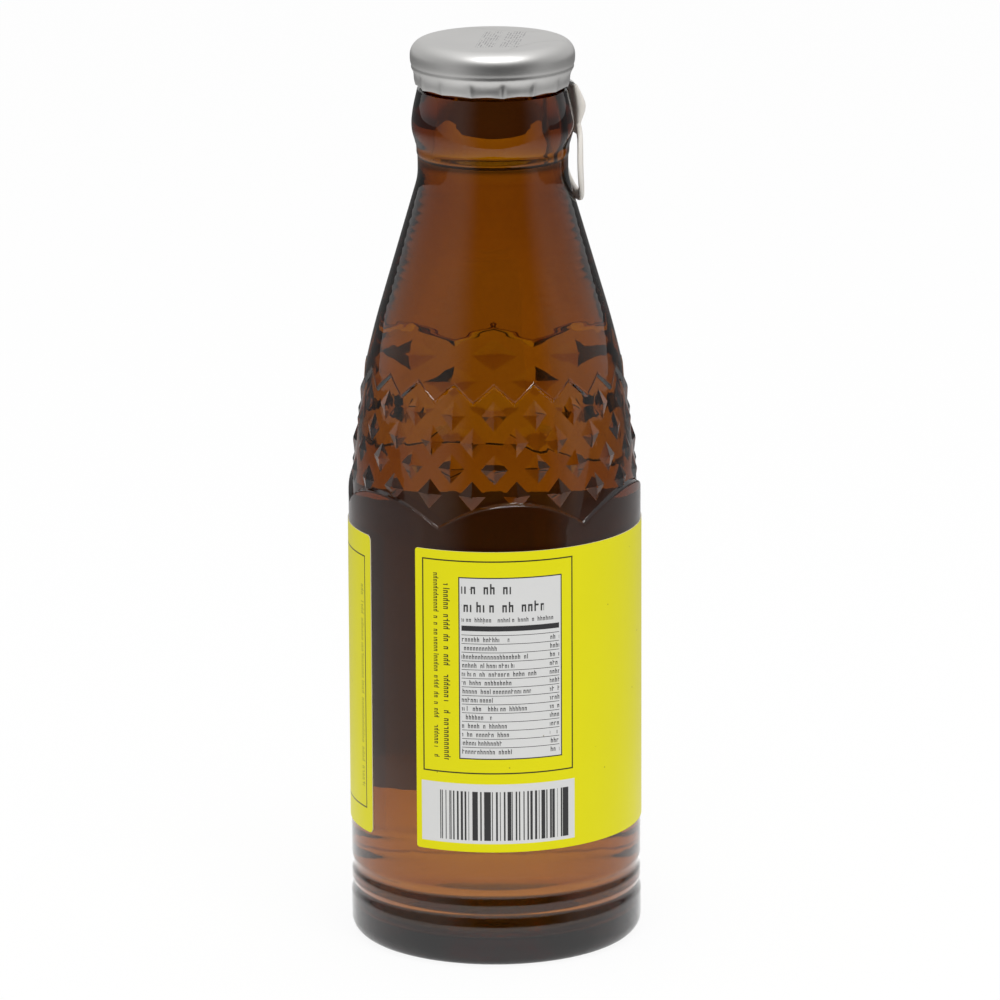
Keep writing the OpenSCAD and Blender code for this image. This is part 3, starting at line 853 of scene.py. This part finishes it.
def strip_plan(g):
    """Plan of the strip with the ring towards -Y, moved out by g all round."""
    flare = np.array([ROOT_W - HALF_W, FLARE_Y - ROOT_Y])
    out = np.array([flare[1], -2 * flare[0]]) / math.hypot(flare[1], 2 * flare[0])
    side = [np.array([HALF_W + g, -40.0])]
    for t in np.linspace(0, 1, 13)[:-1]:
        n = np.array([flare[1], -2 * flare[0] * t])
        side.append([HALF_W + flare[0] * t * t, flare[1] * t - FLARE_Y] + g * n / np.linalg.norm(n))
    side.append(np.array([ROOT_W + g / out[0], -ROOT_Y]))
    side = np.array(side)
    return np.concatenate([side, side[::-1] * [-1, 1]])


def prism(plan, low, high):
    """A cutter: a plan turned to the ring's azimuth and raised between two heights."""
    a = math.radians(RING_AZIMUTH)
    turn = np.array([[math.cos(a), math.sin(a)], [-math.sin(a), math.cos(a)]])
    flat = plan @ turn
    n = len(flat)
    points = [(*p, z) for z in (low, high) for p in flat]
    sides = [[i, (i + 1) % n, (i + 1) % n + n, i + n] for i in range(n)]
    mesh = bpy.data.meshes.new("cutter")
    mesh.from_pydata((np.array(points) * MM).tolist(), [], sides + [list(range(n))[::-1],
                                                                   list(range(n, 2 * n))])
    cutter = bpy.data.objects.new("cutter", mesh)
    bpy.context.scene.collection.objects.link(cutter)
    return cutter


def cut(points, faces, cutter, operation):
    """Points in mm and faces of a solid after a Boolean with the cutter."""
    mesh = bpy.data.meshes.new("blank")
    mesh.from_pydata((np.asarray(points) * MM).tolist(), [], faces)
    blank = bpy.data.objects.new("blank", mesh)
    bpy.context.scene.collection.objects.link(blank)
    modifier = blank.modifiers.new("cut", "BOOLEAN")
    modifier.operation, modifier.object, modifier.solver = operation, cutter, "EXACT"
    result = blank.evaluated_get(bpy.context.evaluated_depsgraph_get()).to_mesh()
    new_points = np.array([v.co[:] for v in result.vertices]) / MM
    new_faces = [list(p.vertices) for p in result.polygons]
    for used in (blank, cutter):
        bpy.data.objects.remove(used)
    return new_points, new_faces


print("Half width of the strip at its root:", ROOT_W, "mm")

# %% [markdown]
# ## Satin aluminium
#
# Lacquered aluminium is a metal with a soft, slightly uneven gloss. Rolling leaves hair-fine lines
# in one direction, and drawing the cap stretches a faint grain down the sides. A short line of
# ink-jet dots on the top is left as a scatter of dots that spells nothing.

# %% Cap finish


def aluminium(recipe):
    x, y, z = place(recipe)
    rolled = noise(recipe, 0.5, 3, (1, 0.06, 1))
    clouds = noise(recipe, 7, 3)
    top = soft_step(z, 153.6, 153.75)
    cell = 0.46
    along = x - y * 0.12
    dot_x, dot_y = (along + 0.9) / cell, (y + 1.0) / cell
    near_x, near_y = dot_x.maths("FRACT") - 0.5, dot_y.maths("FRACT") - 0.5
    near = near_x * near_x + near_y * near_y
    spot = recipe.node("ShaderNodeCombineXYZ", {}, {0: dot_x.maths("FLOOR"), 1: dot_y.maths("FLOOR")})
    chance = recipe.node("ShaderNodeTexWhiteNoise", {"noise_dimensions": "2D"}, {"Vector": spot})
    lines = window(along, -2.0, 1.1).maths("MAXIMUM", window(along, 2.0, 5.1)) * window(y, -7.5, 6.5)
    dots = top * lines * (near < 0.10) * (chance > 0.4)
    colour = blend(recipe, clouds, rgb(222, 221, 219), rgb(230, 229, 227))
    colour = blend(recipe, dots * 0.8, colour, rgb(110, 108, 112))
    surface = recipe.node("ShaderNodeBsdfPrincipled", {}, {
        "Base Color": colour, "Metallic": 1 - dots * 0.7,
        "Roughness": 0.38 + clouds * 0.06 + rolled * 0.05 + dots * 0.2,
        "Normal": bump(rolled * 0.4 + clouds, 0.012)})
    return surface, None


satin_metal = finish("satin_cap_aluminium", aluminium)

# %% Cap shell and tear strip
SCORE, CUT_LOW, CUT_HIGH = 0.05, 140, 160
shell_points, shell_faces = cut(cap_points, cap_faces,
                                prism(strip_plan(SCORE / 2), CUT_LOW, CUT_HIGH), "DIFFERENCE")
make_piece("crimped_cap_shell", shell_points, shell_faces, "cap",
           "cap_shell", [satin_metal], sharp=40)
strip_points, strip_faces = cut(cap_points, cap_faces,
                                prism(strip_plan(-SCORE / 2), CUT_LOW, CUT_HIGH), "INTERSECT")

# %% [markdown]
# The strip ends in a short lip that is bent out over the ring. It follows the skirt, so it is a
# narrow slice of a turned shape.

# %% The strip's lip
lip_profile = np.array([[12.42, 146.5], [12.75, 146.5], [13.1, 146.36], [13.5, 146.2],
                        [13.7, 146.05], [13.68, 145.94], [13.4, 145.98], [12.9, 146.02],
                        [12.42, 146.02]])
lip_azimuths = RING_AZIMUTH + np.linspace(-10.8, 10.8, 13)
ring_of = len(lip_profile)
lip_points = np.concatenate([around(a, lip_profile[:, 0], lip_profile[:, 1]) for a in lip_azimuths])
lip_faces = [[k * ring_of + i, k * ring_of + (i + 1) % ring_of,
              (k + 1) * ring_of + (i + 1) % ring_of, (k + 1) * ring_of + i]
             for k in range(12) for i in range(ring_of)]
lip_faces += [list(range(ring_of))[::-1], list(range(12 * ring_of, 13 * ring_of))]
lip_faces = [face[::-1] for face in lip_faces]
at = len(strip_points)
make_piece("scored_tear_strip", np.concatenate([strip_points, lip_points]),
           strip_faces + [[p + at for p in f] for f in lip_faces], "strip",
           "tear_strip", [satin_metal], sharp=40)

# %% [markdown]
# ## The sealing liner
#
# Under the cap lies a soft moulded ring that seals on the glass rim. It shows only once the strip
# is torn or the cap is off, and the CAD shape is right as it is. So it keeps its solid and gets a
# finish of its own.

# %% Liner finish


def soft_polymer(recipe):
    cloud = noise(recipe, 2.5, 3)
    colour = blend(recipe, cloud, rgb(214, 214, 210), rgb(228, 228, 224))
    surface = recipe.node("ShaderNodeBsdfPrincipled", {}, {
        "Base Color": colour, "Roughness": 0.5 + cloud * 0.1, "Normal": bump(cloud, 0.02)})
    return surface, None


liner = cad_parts["cap_liner"]
liner.data.materials.clear()
liner.data.materials.append(finish("liner_polymer", soft_polymer))
print("Liner keeps its CAD solid:", liner.name)

# %% [markdown]
# ## The pull ring
#
# The ring is one moulding of white plastic: a round loop, bowed to lie close to the neck, a thin
# web, and a grip that bulges for the fingertip. A loop and a grip are built as two simple swept
# shapes. A voxel remesh melts them into one skin, and smoothing rounds the joint as moulding does.

# %% Loop and grip
RING_W, RING_BAND, RING_T, RING_BOW, RING_LEAN, RING_Z = 13.8, 2.0, 1.0, 17.0, 1.5, 132.6
COLLAR_R, RING_GAP, COLLAR_Z = 13.56, 0.3, 139.6
BACK_R = COLLAR_R + RING_GAP


def swept(sections):
    """Joins closed sections of equal length into a tube with capped ends."""
    n, k = len(sections[0]), len(sections)
    points = np.concatenate(sections)
    faces = [[s * n + i, s * n + (i + 1) % n, (s + 1) * n + (i + 1) % n, (s + 1) * n + i]
             for s in range(k - 1) for i in range(n)]
    return points, faces + [list(range(n))[::-1], list(range((k - 1) * n, k * n))]


def rounded(width, depth, n=20, power=3.0):
    """A rounded rectangle as points of (across, out)."""
    a = np.linspace(0, 2 * np.pi, n, endpoint=False)
    c, s = np.cos(a), np.sin(a)
    return np.stack([np.sign(c) * np.abs(c) ** (2 / power) * width / 2,
                     np.sign(s) * np.abs(s) ** (2 / power) * depth / 2], 1)


loop_r = (RING_W - RING_BAND) / 2
lean = math.tan(math.radians(RING_LEAN))
plate_r = BACK_R + RING_T / 2 + (COLLAR_Z - RING_Z) * lean
section = rounded(RING_BAND, RING_T)
sections = []
for turn in np.linspace(0, 2 * np.pi, 65):
    ring_points = []
    for across, out in section:
        side = (loop_r + across) * math.cos(turn)
        rise = (loop_r + across) * math.sin(turn)
        sag = RING_BOW - math.sqrt(RING_BOW**2 - side**2)
        ring_points.append((side, -(plate_r - sag + out - rise * lean), RING_Z + rise))
    sections.append(np.array(ring_points))
loop_points, loop_faces = swept(sections)

grip_rows = [(145.68, 13.55, 14.05, 4.4), (145.45, 13.36, 14.25, 4.9), (145.1, 13.3, 14.4, 5.0),
             (144.5, 13.42, 14.75, 5.0), (143.8, 13.52, 15.08, 5.0), (143.1, 13.62, 15.4, 5.05),
             (142.4, 13.72, 15.62, 5.1), (141.8, 13.8, 15.66, 5.1), (141.1, 13.86, 15.5, 5.1),
             (140.3, 13.86, 15.2, 5.0), (139.5, 13.86, 14.86, 4.9), (138.7, 13.87, 14.62, 4.9),
             (137.9, 13.9, 14.6, 5.2), (137.2, 13.95, 14.75, 5.6)]
sections = []
for z, inner, outer, width in grip_rows:
    shape = rounded(width, outer - inner, power=3.6)
    sections.append(np.array([(a, -((inner + outer) / 2 + o), z) for a, o in shape]))
grip_points, grip_faces = swept(sections[::-1])
print("Loop:", len(loop_faces), "faces, grip:", len(grip_faces), "faces")

# %% Melting loop and grip into one moulding


def remeshed(points, faces, voxel, smooth):
    """Points and faces after a voxel remesh and some smoothing."""
    mesh = bpy.data.meshes.new("blank")
    mesh.from_pydata((np.asarray(points) * MM).tolist(), [], faces)
    blank = bpy.data.objects.new("blank", mesh)
    bpy.context.scene.collection.objects.link(blank)
    melt = blank.modifiers.new("melt", "REMESH")
    melt.mode, melt.voxel_size = "VOXEL", voxel * MM
    soften = blank.modifiers.new("soften", "SMOOTH")
    soften.factor, soften.iterations = 0.5, smooth
    result = blank.evaluated_get(bpy.context.evaluated_depsgraph_get()).to_mesh()
    new_points = np.array([v.co[:] for v in result.vertices]) / MM
    new_faces = [list(p.vertices) for p in result.polygons]
    bpy.data.objects.remove(blank)
    return new_points, new_faces


def moulded_plastic(recipe):
    cloud = noise(recipe, 3, 3)
    fine = noise(recipe, 0.3, 2)
    colour = blend(recipe, cloud, rgb(214, 209, 202), rgb(226, 222, 215))
    surface = recipe.node("ShaderNodeBsdfPrincipled", {}, {
        "Base Color": colour, "Roughness": 0.36 + fine * 0.1, "Subsurface Weight": 0.15,
        "Subsurface Radius": (0.002, 0.0018, 0.0015), "Subsurface Scale": 0.3,
        "Normal": bump(fine * 0.3 + cloud, 0.02)})
    return surface, None


VOXEL_MM, SMOOTHING = 0.14, 5
at = len(loop_points)
ring_points, ring_faces = remeshed(
    np.concatenate([loop_points, grip_points]),
    loop_faces + [[p + at for p in f] for f in grip_faces], VOXEL_MM, SMOOTHING)
turn = math.radians(RING_AZIMUTH)
ring_points = ring_points @ np.array([[math.cos(turn), math.sin(turn), 0],
                                      [-math.sin(turn), math.cos(turn), 0], [0, 0, 1]])
make_piece("white_pull_ring", ring_points, ring_faces, "ring", "pull_ring",
           [finish("white_ring_plastic", moulded_plastic)], sharp=60)

# %% [markdown]
# ## Floor, surroundings and light
#
# Glass and metal show their surroundings more than their own colour. The bottle stands on a white
# sheet, with a pale room behind it, a dark room low in front of it, and one large soft lamp above.
# The camera sees the sheet and the room plain white. What the glass and the cap see of the sheet is
# painted light: a glow that is bright near the bottle, a painted shadow right under it, and a
# painted falloff with distance, as a small light tent would light it. The painted falloff is warm in
# what shines through the glass and neutral in what the cap reflects.

# %% Floor
# Distances for the painted light on the sheet: how far its falloff reaches, and where the painted
# shadow under the bottle ends.
FADE_MM, PAINTED_SHADOW_MM, PAINTED_SHADOW_END_MM = 600, 19, 27      # distances from the bottle's axis


def sheet_white(recipe):
    rays = [recipe.node("ShaderNodeLightPath", {}, {}, ray)
            for ray in ("Is Camera Ray", "Is Glossy Ray", "Is Transmission Ray")]
    seen = rays[0].maths("MAXIMUM", rays[1]).maths("MAXIMUM", rays[2])
    x, y, z = place(recipe)
    away = (x * x + y * y).maths("SQRT")
    # A painted falloff of light with distance from the bottle, seen only by glass and cap rays.
    painted_falloff = recipe.node("ShaderNodeValToRGB", {"stops": [
        (0.1, (1, 1, 1)), (0.24, (0.6, 0.52, 0.42)), (0.58, (0.46, 0.3, 0.2)),
        (0.87, (0.18, 0.1, 0.06)), (1, (0.08, 0.05, 0.03))]}, {0: away / FADE_MM})
    plain = recipe.node("ShaderNodeBsdfDiffuse", {}, {"Color": (0.9, 0.9, 0.9, 1)})
    # Glass and cap rays see a painted shadow right under the bottle: the glow is off under its foot
    # and full a little outside it.
    level = rays[0] + (1 - rays[0]) * 1.1 * soft_step(away, PAINTED_SHADOW_MM, PAINTED_SHADOW_END_MM)
    grey = recipe.node("ShaderNodeRGBToBW", {}, {0: painted_falloff}) * 1.15
    shade = blend(recipe, rays[2], grey, painted_falloff)
    shade = blend(recipe, rays[0], shade, (1, 1, 1, 1))
    glow = recipe.node("ShaderNodeEmission", {}, {"Color": shade, "Strength": level})
    return recipe.node("ShaderNodeMixShader", {}, {0: seen * 0.92, 1: plain, 2: glow}), None


floor_mesh = bpy.data.meshes.new("white_sheet")
floor_mesh.from_pydata([(-3, -0.17, 0), (3, -0.17, 0), (3, 5, 0), (-3, 5, 0)], [], [(0, 1, 2, 3)])
floor_mesh.materials.append(finish("white_sheet", sheet_white))
floor = bpy.data.objects.new("white_sheet", floor_mesh)
bpy.context.scene.collection.objects.link(floor)
print("Floor at z = 0")

# %% Surroundings
world = bpy.data.worlds.new("pale_studio")
bpy.context.scene.world = world
room = Recipe(world)
towards = room.node("ShaderNodeTexCoord", output="Generated")
x, y, z = [room.node("ShaderNodeSeparateXYZ", {}, {0: towards}, axis) for axis in "XYZ"]
azimuth = azimuth_of(x, y)
elevation = z.maths("ARCSINE") * (180 / math.pi)
in_front = 1 - soft_step((azimuth - 12).maths("ABSOLUTE"), 28, 62)
low_down = 1 - soft_step(elevation, 24, 42)
pale = 0.42 + y.maths("MAXIMUM", 0) * 0.2 + soft_step(elevation, 20, 70) * 0.35
seen = pale * (1 - in_front * low_down * 0.92)
camera_ray, diffuse_ray, glass_ray = [
    room.node("ShaderNodeLightPath", {}, {}, ray)
    for ray in ("Is Camera Ray", "Is Diffuse Ray", "Is Transmission Ray")]
through = (pale + y.maths("MAXIMUM", 0) * 0.25) * glass_ray + seen * (1 - glass_ray)
level = through * (1 - diffuse_ray) + diffuse_ray * 0.83
level = level * (1 - camera_ray) + camera_ray
sky = room.node("ShaderNodeBackground", {}, {"Color": (1, 1, 1, 1), "Strength": level})
out = room.tree.nodes.new("ShaderNodeOutputWorld")
room.tree.links.new(sky.socket, out.inputs["Surface"])
print("World has", len(room.tree.nodes), "nodes")


# %% Lamps
def softbox(name, where, target, size, power):
    data = bpy.data.lights.new(name, "AREA")
    data.shape, data.size, data.size_y, data.energy = "RECTANGLE", size[0], size[1], power
    lamp = bpy.data.objects.new(name, data)
    bpy.context.scene.collection.objects.link(lamp)
    lamp.location = where
    lamp.rotation_euler = (Vector(target) - Vector(where)).to_track_quat("-Z", "Y").to_euler()
    lamp.visible_camera = False
    return lamp


softbox("lamp_above_camera", (0.1, -0.55, 1.15), (0, 0, 0.1), (0.85, 0.4), 6.3)
bpy.context.scene.view_settings.view_transform = "Standard"
